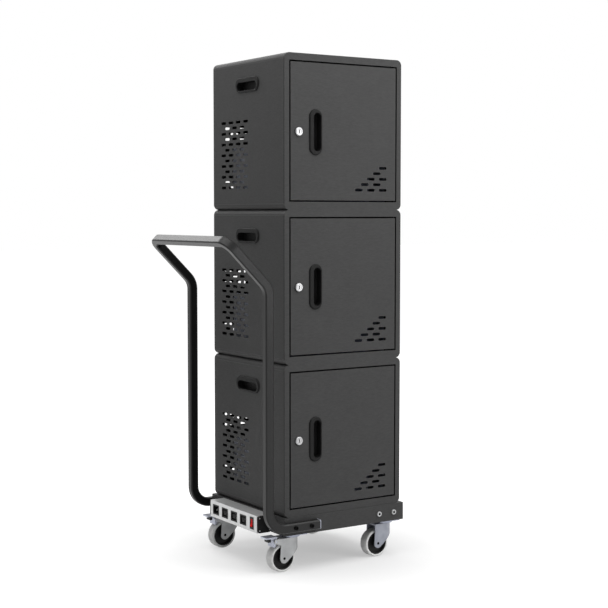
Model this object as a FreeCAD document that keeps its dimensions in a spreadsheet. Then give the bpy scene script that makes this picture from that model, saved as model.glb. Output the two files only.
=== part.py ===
import FreeCAD, Part
import math
import os
import re

import Sketcher

# A mobile charging locker: three stacked steel lockers on a castored base with a push handle.
# The frame has +Z up, the floor at z = 0 and the middle of the overall footprint at the origin.
# The doors face -Y and the push handle stands on the -X side. Sizes are in millimetres.

Vector = FreeCAD.Vector
Rotation = FreeCAD.Rotation

doc = FreeCAD.newDocument("ChargingLocker")
dims = doc.addObject("Spreadsheet::Sheet", "Dims")

# Driving dimensions: name, value, meaning.
SIZES = [
    ("locker_width", 380, "outside width of one locker"),
    ("locker_depth", 378, "outside depth of one locker"),
    ("locker_height", 410, "height of one locker"),
    ("sheet", 1.5, "steel sheet of the lockers"),
    ("edge_radius", 15, "rounded long edges of a locker"),
    ("frame_stile", 15, "face width of the front frame beside the door"),
    ("frame_head", 19, "face width of the front frame over the door"),
    ("frame_sill", 21, "face width of the front frame under the door"),
    ("frame_return", 12, "depth of the lip turned in around the door opening"),
    ("door_gap", 4, "gap around the door"),
    ("door_depth", 15, "depth of the folded door pan"),
    ("hinge_inset", 5, "hinge axis from the door's edge and from its face"),
    ("pin_radius", 2, "hinge pin radius"),
    ("pin_engagement", 6, "hinge pin length past the door's fold"),
    ("washer_radius", 3.2, "hinge thrust washer radius"),
    ("running_clearance", 0.05, "radial clearance of a turning fit"),
    ("seat_clearance", 0.3, "gap around an inserted piece"),
    ("lock_from_edge", 25, "lock axis from the door's free edge"),
    ("lock_head_radius", 11.5, "lock face radius"),
    ("lock_proud", 5, "lock face in front of the door"),
    ("barrel_radius", 9.5, "lock barrel radius"),
    ("plug_radius", 6.5, "turning lock plug radius"),
    ("plug_recess", 0.5, "plug set back in the lock face"),
    ("key_slot_width", 2, "key slot width"),
    ("key_slot_height", 9, "key slot height"),
    ("key_slot_depth", 8, "key slot depth"),
    ("cam_reach", 40, "lock cam from the plug axis to its tip"),
    ("cam_width", 16, "lock cam width"),
    ("cam_thickness", 2, "lock cam thickness"),
    ("cam_gap", 2, "lock cam behind the door's fold"),
    ("pull_from_edge", 78.5, "door pull's middle from the door's free edge"),
    ("pull_length", 122, "flush pull flange length"),
    ("pull_width", 41, "flush pull flange width"),
    ("pull_proud", 4, "flush pull flange in front of its panel"),
    ("pull_bevel", 2.5, "bevelled outer edge of the flush pull"),
    ("mouth_length", 102, "finger opening length"),
    ("mouth_width", 23, "finger opening width"),
    ("mouth_offset", 4, "finger opening off the flange's middle, away from the lip"),
    ("pull_wall", 2.5, "flush pull cup wall"),
    ("pull_depth", 20, "flush pull cup depth behind its panel"),
    ("side_pull_drop", 70, "side pull's middle below the locker's top"),
    ("slot_length", 25, "vent slot length"),
    ("slot_width", 7.5, "vent slot width"),
    ("slot_pitch", 40, "vent slot pitch along a row"),
    ("row_pitch", 15, "vent row pitch"),
    ("side_vent_inset", 58, "rearmost side slot's middle from the rear face"),
    ("side_vent_rise", 61.5, "lowest side row above the locker's underside"),
    ("door_vent_inset", 42.5, "last door slot's middle from the hinge edge"),
    ("door_vent_rise", 28.5, "lowest door row above the door's lower edge"),
    ("rear_vent_inset", 45, "first rear slot's middle from the handle side"),
    ("rear_vent_rise", 66.5, "lowest rear row above the locker's underside"),
    ("rear_slot_pitch", 46, "rear slot pitch along a row"),
    ("rack_side_gap", 23, "device rack in from each of the locker's sides"),
    ("rack_height", 174, "device rack divider height"),
    ("rack_setback", 42, "device rack behind the locker's face"),
    ("rack_gap", 27.5, "device rack in front of the charging hub"),
    ("rack_pitch", 55, "device rack divider pitch"),
    ("rack_corner", 40, "cut-off front corner of a divider"),
    ("hub_width", 280, "charging hub width"),
    ("hub_depth", 40, "charging hub depth"),
    ("hub_height", 102, "charging hub height"),
    ("hub_rise", 88, "charging hub above the locker's underside"),
    ("hub_bevel", 4, "charging hub corner"),
    ("port_width", 14, "charging port width"),
    ("port_height", 7, "charging port height"),
    ("port_depth", 10, "charging port depth"),
    ("port_pitch", 40, "charging port pitch"),
    ("rail_height", 48, "base rail height"),
    ("rail_depth", 72, "base rail flange depth"),
    ("rail_wall", 3, "base rail wall"),
    ("locker_setback", 2, "base beyond the lockers' front and handle side"),
    ("rear_ledge", 14, "base beyond the lockers' rear"),
    ("end_ledge", 12, "base beyond the lockers' far side"),
    ("member_depth", 40, "cross member flange depth"),
    ("tube_height", 25, "handle tube section in the plane of its bends"),
    ("tube_depth", 20, "handle tube section across that plane"),
    ("tube_corner", 3, "handle tube corner bevel"),
    ("tube_wall", 2.5, "handle tube wall"),
    ("foot_run", 105, "handle foot along the rail from the base's end"),
    ("leg_reach", 56, "handle leg's middle beyond the base's end"),
    ("leg_rise", 616, "bend of the leg above the lockers' underside"),
    ("slope_rise", 122, "rise, and reach, of the leg's outward slope"),
    ("leg_bend", 50, "bend radius at the foot and in the leg"),
    ("grip_bend", 28, "bend radius at the ends of the grip"),
    ("foot_cap", 4, "handle end cap thickness"),
    ("handle_bolt_from_end", 31, "outer handle bolt from the end of a foot"),
    ("rail_bolt_from_end", 34, "outer rail bolt from the end of a rail"),
    ("bolt_spacing", 50, "spacing of a pair of bolts"),
    ("bolt_radius", 4, "bolt shank radius"),
    ("handle_bolt_head", 5.5, "handle bolt head radius"),
    ("rail_bolt_head", 7, "rail bolt head radius"),
    ("socket_share", 0.55, "hex socket over corners, as a share of its head"),
    ("bolt_head_height", 4, "button head height"),
    ("bolt_socket_depth", 3, "hex socket depth"),
    ("bolt_nut_height", 6, "nut height"),
    ("strip_inset", 66, "power strip's ends from the base's sides"),
    ("strip_depth", 44, "power strip depth"),
    ("strip_height", 47, "power strip height"),
    ("strip_wall", 2, "power strip wall"),
    ("strip_drop", 0.5, "power strip below the rail's top"),
    ("strip_cap", 4, "power strip end cap thickness"),
    ("strip_cap_chamfer", 6, "power strip end cap corner"),
    ("cap_screw_inset", 6.5, "end cap screws from the corners"),
    ("cap_screw_radius", 2.2, "end cap screw head radius"),
    ("cap_screw_height", 1.2, "end cap screw head height"),
    ("inlet_from_end", 35, "inlet's middle from the strip's rear end"),
    ("outlet_from_end", 85.5, "first outlet's middle from the strip's rear end"),
    ("outlet_pitch", 50, "outlet pitch"),
    ("switch_from_end", 30, "switch's middle from the strip's front end"),
    ("socket_width", 33, "inlet and outlet width"),
    ("socket_height", 28, "inlet and outlet height"),
    ("socket_depth", 24, "inlet and outlet depth in the strip"),
    ("socket_lip", 1.5, "rim of an inlet, outlet or switch over its opening"),
    ("socket_proud", 0.8, "inlet and outlet in front of the strip"),
    ("socket_mouth_width", 25, "inlet and outlet cavity width"),
    ("socket_mouth_height", 20, "inlet and outlet cavity height"),
    ("socket_mouth_depth", 16, "inlet and outlet cavity depth"),
    ("contact_width", 2, "contact blade width"),
    ("contact_height", 4.5, "contact blade height"),
    ("contact_length", 10, "contact blade length"),
    ("contact_spacing", 7, "contact blade spacing"),
    ("core_width", 18, "outlet core width"),
    ("core_height", 12, "outlet core height"),
    ("bezel_width", 17, "switch frame width"),
    ("bezel_height", 33, "switch frame height"),
    ("bezel_wall", 3, "switch frame wall at the sides"),
    ("bezel_end", 5, "switch frame wall at the ends"),
    ("bezel_proud", 1.5, "switch frame in front of the strip"),
    ("bezel_depth", 14, "switch frame depth in the strip"),
    ("rocker_tilt", 9, "rocker tilt from level, degrees"),
    ("rocker_rise", 5, "rocker end in front of its pivot when level"),
    ("rocker_dip", 3, "rocker middle in front of its pivot"),
    ("rocker_pin_radius", 1.5, "rocker pivot radius"),
    ("rocker_edge", 1, "flat at each end of the rocker's face"),
    ("rocker_clearance", 1.2, "gap at each end of the rocker"),
    ("caster_height", 102, "caster height over its plate"),
    ("caster_inset", 42, "swivel axis from the rail's end"),
    ("caster_setback", 37, "swivel axis from the rail's face"),
    ("caster_trail", 32, "wheel axle behind the swivel axis"),
    ("plate_size", 66, "caster plate size"),
    ("plate_thickness", 3, "caster plate thickness"),
    ("race_radius", 25, "swivel bearing radius"),
    ("race_height", 6, "swivel bearing height"),
    ("race_gap", 0.3, "running gap of the swivel bearing"),
    ("kingpin_radius", 6, "swivel pin radius"),
    ("wheel_radius", 38.1, "wheel radius"),
    ("tread_width", 30, "wheel width"),
    ("tyre_depth", 6.5, "tyre thickness"),
    ("tyre_rounding", 4, "rounded tyre shoulder"),
    ("hub_recess", 1, "wheel centre inside the tyre's side"),
    ("hub_dish_depth", 7, "dish in each side of the wheel centre"),
    ("hub_boss_radius", 12, "wheel centre boss radius"),
    ("hub_rim", 4, "wheel centre rim inside the tyre"),
    ("fork_gap", 3, "fork cheek off the wheel's side"),
    ("fork_wall", 3, "fork cheek thickness"),
    ("fork_web", 4, "fork crown thickness"),
    ("fork_eye_radius", 13, "fork around the axle"),
    ("fork_back", 10.5, "fork cheek behind the axle"),
    ("fork_flat", 20, "flat of the fork cheek ahead of the axle"),
    ("fork_nose", 32, "rounded front of the fork ahead of that flat"),
    ("fork_front_low", 64, "lower end of the fork's front above the floor"),
    ("fork_ear_radius", 6, "fork ear around the pedal pivot"),
    ("fork_ear_drop", 12, "root of the fork ear below the pedal pivot"),
    ("axle_radius", 5, "wheel axle radius"),
    ("axle_socket_radius", 4, "hex socket in the axle, over corners"),
    ("axle_socket_depth", 4, "depth of that socket"),
    ("pedal_pivot_reach", 57, "brake pedal pivot behind the swivel axis"),
    ("pedal_pivot_height", 86.5, "brake pedal pivot above the floor"),
    ("pedal_pin_radius", 2.5, "brake pedal pivot radius"),
    ("pedal_width", 30, "brake pedal width"),
    ("pedal_thickness", 4, "brake pedal thickness"),
    ("pedal_reach", 29, "brake pedal tip from its pivot"),
    ("pedal_rise", 12, "brake pedal's upper face above its pivot"),
    ("pedal_knee_reach", 15, "underside of the brake pedal's blade starts from its pivot"),
    ("tongue_length", 16, "brake tongue below its pivot"),
    ("tongue_back", 5, "far side of the brake tongue behind its pivot"),
    ("tongue_thickness", 4, "brake tongue thickness"),
    ("block_length", 8, "brake block length"),
    ("block_start", 11, "brake pedal's stop block from the pivot"),
    ("block_low", 2.3, "stop block below the pivot"),
    ("block_width", 20, "brake block width"),
]
ALIASES = [alias for alias, value, meaning in SIZES]

for row, (alias, value, meaning) in enumerate(SIZES, start=1):
    dims.set(f"A{row}", meaning)
    dims.set(f"B{row}", str(value))
    dims.setAlias(f"B{row}", alias)
doc.recompute()

# Places worked out from the driving dimensions.
GRIP_HALF = "(((tube_depth + tube_height) / 2 - tube_corner) / sqrt(2))"
RAIL_LENGTH = "(locker_width + locker_setback + end_ledge)"
BASE_HALF = "((locker_depth + locker_setback + rear_ledge) / 2)"
BASE_LEFT = f"((leg_reach + slope_rise + {GRIP_HALF} - {RAIL_LENGTH}) / 2)"
BASE_RIGHT = f"({BASE_LEFT} + {RAIL_LENGTH})"
BASE_TOP = "(caster_height + rail_height)"
RAIL_MIDDLE = "(caster_height + rail_height / 2)"
LOCKER_X = f"({BASE_LEFT} + locker_setback + locker_width / 2)"
LOCKER_Y = "((locker_setback - rear_ledge) / 2)"
FACE = "(-locker_depth / 2)"
REAR = "(locker_depth / 2)"
SIDE = "(locker_width / 2)"
OPENING_LOW = "frame_sill"
OPENING_HIGH = "(locker_height - frame_head)"
OPENING_SIDE = "(locker_width / 2 - frame_stile)"
DOOR_SIDE = "(locker_width / 2 - frame_stile - door_gap)"
DOOR_LOW = "(frame_sill + door_gap)"
DOOR_HIGH = "(locker_height - frame_head - door_gap)"
DOOR_BACK = f"({FACE} + door_depth)"
HINGE_X = f"({DOOR_SIDE} - hinge_inset)"
HINGE_Y = f"({FACE} + hinge_inset)"
LOCK_X = f"(lock_from_edge - {DOOR_SIDE})"
LOCK_Z = "(locker_height / 2)"
CAM_FRONT = f"({DOOR_BACK} + cam_gap)"
PULL_X = f"(pull_from_edge - {DOOR_SIDE})"
CUP_LENGTH = "(mouth_length + 2 * pull_wall)"
CUP_WIDTH = "(mouth_width + 2 * pull_wall)"
HUB_FRONT = f"({REAR} - sheet - hub_depth)"
HUB_RADIUS = "(wheel_radius - tyre_depth)"
CROWN_TOP = "(caster_height - plate_thickness - race_height - race_gap)"
CROWN_LOW = f"({CROWN_TOP} - fork_web)"
FORK_INSIDE = "(tread_width / 2 + fork_gap)"
FORK_OUTSIDE = f"({FORK_INSIDE} + fork_wall)"
STRIP_TOP = f"({BASE_TOP} - strip_drop)"
STRIP_LOW = f"({STRIP_TOP} - strip_height)"
STRIP_MIDDLE = f"({STRIP_TOP} - strip_height / 2)"
STRIP_FACE = f"({BASE_LEFT} - strip_depth)"
LEG_X = f"({BASE_LEFT} - leg_reach)"

sub_parts = []


def ref(expression):
    """Name the sheet in front of every size in an expression."""
    def named(match):
        word = match.group()
        return f"Dims.{word}" if word in ALIASES else word
    return re.sub(r"[a-z]\w*", named, expression)


def num(expression):
    """The present value of an expression."""
    return float(dims.evalExpression(ref(expression)))


def bind(item, prop, expression):
    """Tie a property of the model to the sheet."""
    item.setExpression(prop, ref(expression))


def place(item, x="0", y="0", z="0", turn=None):
    """Put a piece in place, turned first if a rotation is given."""
    if turn is not None:
        item.Placement = FreeCAD.Placement(Vector(), turn)
    for axis, expression in (("x", x), ("y", y), ("z", z)):
        bind(item, f"Placement.Base.{axis}", expression)


def keep(item, label):
    """Take a finished piece into the assembly under its own name."""
    item.Label = label
    sub_parts.append(item)
    return item


def group(label, pieces):
    """Several like pieces of one kind, kept as separate solids of one sub-part."""
    compound = doc.addObject("Part::Compound", label)
    compound.Links = pieces
    return keep(compound, label)


def new_body(name):
    return doc.addObject("PartDesign::Body", name)


def sketch_at(body, plane, level):
    """An empty sketch on a plane parallel to one of the body's origin planes."""
    sketch = body.newObject("Sketcher::SketchObject", f"{body.Name}_profile")
    origin_plane = [item for item in body.Origin.OriginFeatures if item.Role == f"{plane}_Plane"][0]
    sketch.AttachmentSupport = [(origin_plane, "")]
    sketch.MapMode = "FlatFace"
    bind(sketch, "AttachmentOffset.Base.z", f"-({level})" if plane == "XZ" else level)
    return sketch


def add(body, plane, low, high, draw):
    """Add material between two levels across a plane; draw fills in the outline."""
    sketch = sketch_at(body, plane, high if plane == "XZ" else low)
    draw(sketch)
    pad = body.newObject("PartDesign::Pad", f"{body.Name}_pad")
    pad.Profile = sketch
    bind(pad, "Length", f"({high}) - ({low})")
    return pad


def cut(body, plane, low, high, draw):
    """Take material away between two levels across a plane."""
    sketch = sketch_at(body, plane, low if plane == "XZ" else high)
    draw(sketch)
    pocket = body.newObject("PartDesign::Pocket", f"{body.Name}_pocket")
    pocket.Profile = sketch
    bind(pocket, "Length", f"({high}) - ({low})")
    return pocket


def repeat(body, feature, axis, pitch, count):
    """Repeat a feature along an axis of the body, against that axis."""
    axes = {item.Role: item for item in body.Origin.OriginFeatures}
    doc.recompute()
    pattern = body.newObject("PartDesign::LinearPattern", f"{body.Name}_pattern")
    pattern.Originals = [feature]
    pattern.Direction = (axes[f"{axis}_Axis"], [""])
    pattern.Reversed = True
    pattern.Mode = "Spacing"
    bind(pattern, "Offset", pitch)
    pattern.Occurrences = count
    body.Tip = pattern
    return pattern


def bevel_edges(body, size, wanted):
    """Bevel the edges of the body's last feature that a test picks out."""
    doc.recompute()
    base = body.Tip
    names = [f"Edge{i}" for i, edge in enumerate(base.Shape.Edges, start=1) if wanted(edge)]
    bevel = body.newObject("PartDesign::Chamfer", f"{body.Name}_bevel")
    bevel.Base = (base, names)
    bind(bevel, "Size", size)
    return bevel


def revolved(body, points):
    """A ring about the body's Y axis; its outline is pairs of a place along Y and a radius."""
    sketch = sketch_at(body, "YZ", "0")
    polygon(points)(sketch)
    ring = body.newObject("PartDesign::Revolution", f"{body.Name}_ring")
    ring.Profile = sketch
    ring.ReferenceAxis = ([item for item in body.Origin.OriginFeatures if item.Role == "Y_Axis"][0], [""])
    ring.Angle = 360
    return ring


def rect(left, right, low, high):
    """An outline: a rectangle whose sides are tied to the sheet."""
    def draw(sketch):
        x0, x1, y0, y1 = num(left), num(right), num(low), num(high)
        corners = [Vector(x0, y0, 0), Vector(x1, y0, 0), Vector(x1, y1, 0), Vector(x0, y1, 0)]
        first = sketch.GeometryCount
        for i in range(4):
            sketch.addGeometry(Part.LineSegment(corners[i], corners[(i + 1) % 4]))
        for i in range(4):
            sketch.addConstraint(Sketcher.Constraint("Coincident", first + i, 2, first + (i + 1) % 4, 1))
            sketch.addConstraint(Sketcher.Constraint("Vertical" if i % 2 else "Horizontal", first + i))
        for kind, line, value, expression in (("DistanceX", 0, x0, left), ("DistanceY", 0, y0, low),
                                              ("DistanceX", 2, x1, right), ("DistanceY", 2, y1, high)):
            index = sketch.addConstraint(Sketcher.Constraint(kind, -1, 1, first + line, 1, value))
            bind(sketch, f"Constraints[{index}]", expression)
    return draw


def circle(x, y, radius):
    """An outline: a circle tied to the sheet."""
    def draw(sketch):
        index = sketch.addGeometry(Part.Circle(Vector(num(x), num(y), 0), Vector(0, 0, 1), num(radius)))
        for kind, value, expression in (("DistanceX", num(x), x), ("DistanceY", num(y), y)):
            constraint = sketch.addConstraint(Sketcher.Constraint(kind, -1, 1, index, 3, value))
            bind(sketch, f"Constraints[{constraint}]", expression)
        constraint = sketch.addConstraint(Sketcher.Constraint("Radius", index, num(radius)))
        bind(sketch, f"Constraints[{constraint}]", radius)
    return draw


def trace(sketch, path):
    """Draw a closed outline of points and (centre, end) arcs that turn the short way."""
    here = path[0]
    for step in path[1:] + path[:1]:
        if isinstance(step, tuple):
            centre, end = step
            start_angle = math.atan2(here.y - centre.y, here.x - centre.x)
            turn = math.atan2(end.y - centre.y, end.x - centre.x) - start_angle
            turn = (turn + math.pi) % (2 * math.pi) - math.pi
            radius = (here - centre).Length
            half_way = start_angle + turn / 2
            middle = centre + Vector(math.cos(half_way), math.sin(half_way), 0) * radius
            sketch.addGeometry(Part.Arc(here, middle, end))
            here = end
        else:
            if (step - here).Length > 1e-6:
                sketch.addGeometry(Part.LineSegment(here, step))
            here = step


def round_rect(left, right, low, high, radius):
    """An outline: a rectangle with rounded corners."""
    def draw(sketch):
        x0, x1, y0, y1, r = num(left), num(right), num(low), num(high), num(radius)
        trace(sketch, [
            Vector(x0 + r, y0, 0), Vector(x1 - r, y0, 0),
            (Vector(x1 - r, y0 + r, 0), Vector(x1, y0 + r, 0)), Vector(x1, y1 - r, 0),
            (Vector(x1 - r, y1 - r, 0), Vector(x1 - r, y1, 0)), Vector(x0 + r, y1, 0),
            (Vector(x0 + r, y1 - r, 0), Vector(x0, y1 - r, 0)), Vector(x0, y0 + r, 0),
            (Vector(x0 + r, y0 + r, 0), Vector(x0 + r, y0, 0)),
        ])
    return draw


def slot(x, y, length, width, upright=False):
    """An outline: a slot with full round ends, lying or upright."""
    def draw(sketch):
        r = num(width) / 2
        reach = num(length) / 2 - r
        along = Vector(0, 1, 0) if upright else Vector(1, 0, 0)
        across = Vector(-along.y, along.x, 0)
        middle = Vector(num(x), num(y), 0)
        head = middle + along * reach
        tail = middle - along * reach
        sketch.addGeometry(Part.LineSegment(tail - across * r, head - across * r))
        sketch.addGeometry(Part.Arc(head - across * r, head + along * r, head + across * r))
        sketch.addGeometry(Part.LineSegment(head + across * r, tail + across * r))
        sketch.addGeometry(Part.Arc(tail + across * r, tail - along * r, tail - across * r))
    return draw


def vent(x, y):
    """An outline: a lying vent slot whose ends are cut off at the corners, as a punch leaves them."""
    def draw(sketch):
        middle_x, middle_y, reach, half = num(x), num(y), num("slot_length") / 2, num("slot_width") / 2
        nip = half * (2 - math.sqrt(2))
        quarter = [(reach - nip, half), (reach, half - nip)]
        corners = quarter + [(a, -b) for a, b in reversed(quarter)]
        corners += [(-a, -b) for a, b in corners]
        trace(sketch, [Vector(middle_x + a, middle_y + b, 0) for a, b in corners])
    return draw


def several(*draws):
    """Several outlines in one sketch."""
    def draw(sketch):
        for each in draws:
            each(sketch)
    return draw


def polygon(points):
    """An outline through corners given as pairs of expressions."""
    def draw(sketch):
        trace(sketch, [Vector(num(x), num(y), 0) for x, y in points])
    return draw


def bevelled_rect(left, right, low, high, size):
    """An outline: a rectangle with its corners cut off."""
    return polygon([
        (f"{left} + {size}", low), (f"{right} - {size}", low),
        (right, f"{low} + {size}"), (right, f"{high} - {size}"),
        (f"{right} - {size}", high), (f"{left} + {size}", high),
        (left, f"{high} - {size}"), (left, f"{low} + {size}"),
    ])


def hex_outline(x, y, radius):
    """An outline: a hexagon about a point, given over its corners."""
    angles = [math.radians(60 * i) for i in range(6)]
    return polygon([(f"{x} + {radius} * {math.cos(a)}", f"{y} + {radius} * {math.sin(a)}") for a in angles])


def cylinder(name, radius, height, x, y, z, turn=None):
    """A round bar from its foot point, upright unless turned."""
    bar = doc.addObject("Part::Cylinder", name)
    bind(bar, "Radius", radius)
    bind(bar, "Height", height)
    place(bar, x, y, z, turn)
    return bar


def hexagon(name, radius, height, x, y, z, turn=None):
    """A hexagonal bar from its foot point, upright unless turned."""
    bar = doc.addObject("Part::Prism", name)
    bar.Polygon = 6
    bind(bar, "Circumradius", radius)
    bind(bar, "Height", height)
    place(bar, x, y, z, turn)
    return bar


def fused(name, pieces):
    union = doc.addObject("Part::MultiFuse", name)
    union.Shapes = pieces
    union.Refine = True
    return union


def drilled(name, piece, tools):
    """A piece with holes: the tools are taken out of it."""
    result = doc.addObject("Part::Cut", name)
    result.Base = piece
    result.Tool = tools[0] if len(tools) == 1 else fused(f"{name}_tools", tools)
    return result


# The lockers. Each is drawn about the middle of its own underside and lifted to its level.

LEVELS = ["lower", "middle", "upper"]


def level_base(level):
    return f"{BASE_TOP} + {level} * locker_height"


def stand(item, level):
    """Lift a piece drawn in a locker's own frame to its level."""
    place(item, LOCKER_X, LOCKER_Y, level_base(level))


def make_tray(name, level, upside_down):
    """The top or bottom of a locker: a sheet whose long edges roll into the sides."""
    half, radius, wall = num(SIDE), num("edge_radius"), num("sheet")

    def height(z):
        return num("locker_height") - z if upside_down else z

    def draw(sketch):
        left, right = radius - half, half - radius
        trace(sketch, [
            Vector(-half, height(radius), 0),
            (Vector(left, height(radius), 0), Vector(left, height(0), 0)),
            Vector(right, height(0), 0),
            (Vector(right, height(radius), 0), Vector(half, height(radius), 0)),
            Vector(half - wall, height(radius), 0),
            (Vector(right, height(radius), 0), Vector(right, height(wall), 0)),
            Vector(left, height(wall), 0),
            (Vector(left, height(radius), 0), Vector(wall - half, height(radius), 0)),
        ])

    body = new_body(name)
    add(body, "XZ", f"{FACE} + sheet", f"{REAR} - sheet", draw)
    stand(body, level)
    return body


def make_side(label, level, inner, vented):
    """A side panel with the hole for the carrying pull, and a staggered vent field on the handle side."""
    body = new_body(label)
    add(body, "YZ", inner, f"{inner} + sheet",
        rect(f"{FACE} + sheet", f"{REAR} - sheet", "edge_radius", "locker_height - edge_radius"))
    cut(body, "YZ", inner, f"{inner} + sheet",
        slot("0", "locker_height - side_pull_drop - mouth_offset",
             f"{CUP_LENGTH} + 2 * seat_clearance", f"{CUP_WIDTH} + 2 * seat_clearance"))
    vents = []
    for row in range(13 if vented else 0):
        stagger = row % 2
        for column in range(4 - stagger):
            y = f"{REAR} - side_vent_inset - ({column} + {stagger} / 2) * slot_pitch"
            vents.append(vent(y, f"side_vent_rise + {row} * row_pitch"))
    if vented:
        cut(body, "YZ", inner, f"{inner} + sheet", several(*vents))
    stand(body, level)
    return keep(body, label)


def make_front_frame(label, level):
    """The face of a locker around the door, with a lip turned in and the hinge pin holes."""
    body = new_body(label)
    add(body, "XZ", FACE, f"{FACE} + sheet",
        round_rect(f"-{SIDE}", SIDE, "0", "locker_height", "edge_radius"))
    add(body, "XZ", f"{FACE} + sheet", f"{FACE} + frame_return",
        rect(f"-{OPENING_SIDE} - sheet", f"{OPENING_SIDE} + sheet",
             f"{OPENING_LOW} - sheet", f"{OPENING_HIGH} + sheet"))
    cut(body, "XZ", FACE, f"{FACE} + frame_return",
        rect(f"-{OPENING_SIDE}", OPENING_SIDE, OPENING_LOW, OPENING_HIGH))
    cut(body, "XY", f"{OPENING_LOW} - sheet", f"{OPENING_HIGH} + sheet",
        circle(HINGE_X, HINGE_Y, "pin_radius"))
    stand(body, level)
    return keep(body, label)


def make_door(label, level):
    """A folded door pan with the pull's hole, the lock's hole and the stepped vent field."""
    body = new_body(label)
    add(body, "XZ", FACE, DOOR_BACK, rect(f"-{DOOR_SIDE}", DOOR_SIDE, DOOR_LOW, DOOR_HIGH))
    cut(body, "XZ", f"{FACE} + sheet", DOOR_BACK,
        rect(f"sheet - {DOOR_SIDE}", f"{DOOR_SIDE} - sheet", f"{DOOR_LOW} + sheet", f"{DOOR_HIGH} - sheet"))
    vents = []
    for row in range(5):
        stagger = row % 2
        for column in range((6 - row) // 2):
            x = f"{DOOR_SIDE} - door_vent_inset - ({column} + {stagger} / 2) * slot_pitch"
            vents.append(vent(x, f"{DOOR_LOW} + door_vent_rise + {row} * row_pitch"))
    pull_hole = slot(f"{PULL_X} + mouth_offset", LOCK_Z, f"{CUP_LENGTH} + 2 * seat_clearance",
                     f"{CUP_WIDTH} + 2 * seat_clearance", upright=True)
    lock_hole = circle(LOCK_X, LOCK_Z, "barrel_radius")
    cut(body, "XZ", FACE, f"{FACE} + sheet", several(pull_hole, lock_hole, *vents))
    cut(body, "XY", DOOR_LOW, DOOR_HIGH, circle(HINGE_X, HINGE_Y, "pin_radius + running_clearance"))
    stand(body, level)
    return keep(body, label)


def make_pull(name, x, y, z, turn=None):
    """A moulded flush pull: a raised stadium flange, wider on its lip side, around a finger cup."""
    body = new_body(name)
    add(body, "XZ", "-pull_proud", "0", slot("0", "0", "pull_length", "pull_width", upright=True))
    bevel_edges(body, "pull_bevel", lambda edge: edge.BoundBox.YMax < -0.5 * num("pull_proud"))
    add(body, "XZ", "0", "pull_depth", slot("mouth_offset", "0", CUP_LENGTH, CUP_WIDTH, upright=True))
    cut(body, "XZ", "-pull_proud", "pull_depth - pull_wall",
        slot("mouth_offset", "0", "mouth_length", "mouth_width", upright=True))
    place(body, x, y, z, turn)
    return body


def make_lock(level):
    """A cam lock: a headed barrel in the door and a plug that turns the cam behind the frame's lip."""
    housing = new_body(f"{LEVELS[level]}_lock_housing")
    add(housing, "XZ", f"{FACE} - lock_proud", FACE, circle(LOCK_X, LOCK_Z, "lock_head_radius"))
    bevel_edges(housing, "lock_proud / 3", lambda edge: edge.BoundBox.YMax < num(f"{FACE} - lock_proud / 2"))
    add(housing, "XZ", FACE, f"{CAM_FRONT} - seat_clearance", circle(LOCK_X, LOCK_Z, "barrel_radius"))
    cut(housing, "XZ", f"{FACE} - lock_proud", f"{CAM_FRONT} - seat_clearance",
        circle(LOCK_X, LOCK_Z, "plug_radius + running_clearance"))
    stand(housing, level)
    keep(housing, f"{LEVELS[level]}_lock_housing")

    plug = new_body(f"{LEVELS[level]}_lock_plug")
    front = f"{FACE} - lock_proud + plug_recess"
    add(plug, "XZ", front, f"{CAM_FRONT}", circle(LOCK_X, LOCK_Z, "plug_radius"))
    cut(plug, "XZ", front, f"{front} + key_slot_depth",
        rect(f"{LOCK_X} - key_slot_width / 2", f"{LOCK_X} + key_slot_width / 2",
             f"{LOCK_Z} - key_slot_height / 2", f"{LOCK_Z} + key_slot_height / 2"))
    add(plug, "XZ", CAM_FRONT, f"{CAM_FRONT} + cam_thickness",
        slot(LOCK_X, f"{LOCK_Z} + cam_width / 4 - cam_reach / 2",
             "cam_reach + cam_width / 2", "cam_width", upright=True))
    stand(plug, level)
    keep(plug, f"{LEVELS[level]}_lock_plug")


def make_hinge_pins(level):
    """Two pins on one axis, through the frame's lip into the door's folds, and a thrust washer."""
    base = level_base(level)
    x, y = f"{LOCKER_X} + {HINGE_X}", f"{LOCKER_Y} + {HINGE_Y}"
    length = "2 * sheet + door_gap + pin_engagement"
    name = f"{LEVELS[level]}_hinge"
    upper = cylinder(f"{name}_upper_pin", "pin_radius", length,
                     x, y, f"{base} + {OPENING_HIGH} + sheet - ({length})")
    lower = fused(f"{name}_lower_pin", [
        cylinder(f"{name}_lower_shank", "pin_radius", length, x, y, f"{base} + {OPENING_LOW} - sheet"),
        cylinder(f"{name}_washer", "washer_radius", "door_gap - 2 * running_clearance",
                 x, y, f"{base} + {OPENING_LOW}"),
    ])
    return [upper, lower]


def make_back_panel(level):
    """The rear of a locker, with staggered rows of slots above and below the charging hub."""
    body = new_body(f"{LEVELS[level]}_back_panel")
    add(body, "XZ", f"{REAR} - sheet", REAR,
        round_rect(f"-{SIDE}", SIDE, "0", "locker_height", "edge_radius"))
    vents = []
    for row in (0, 1, 9, 10, 11):
        stagger = 1 - row % 2
        for column in range(4 - stagger):
            x = f"rear_vent_inset - {SIDE} + ({column} + {stagger} / 2) * rear_slot_pitch"
            vents.append(vent(x, f"rear_vent_rise + {row} * row_pitch"))
    cut(body, "XZ", f"{REAR} - sheet", REAR, several(*vents))
    stand(body, level)
    return body


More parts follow.
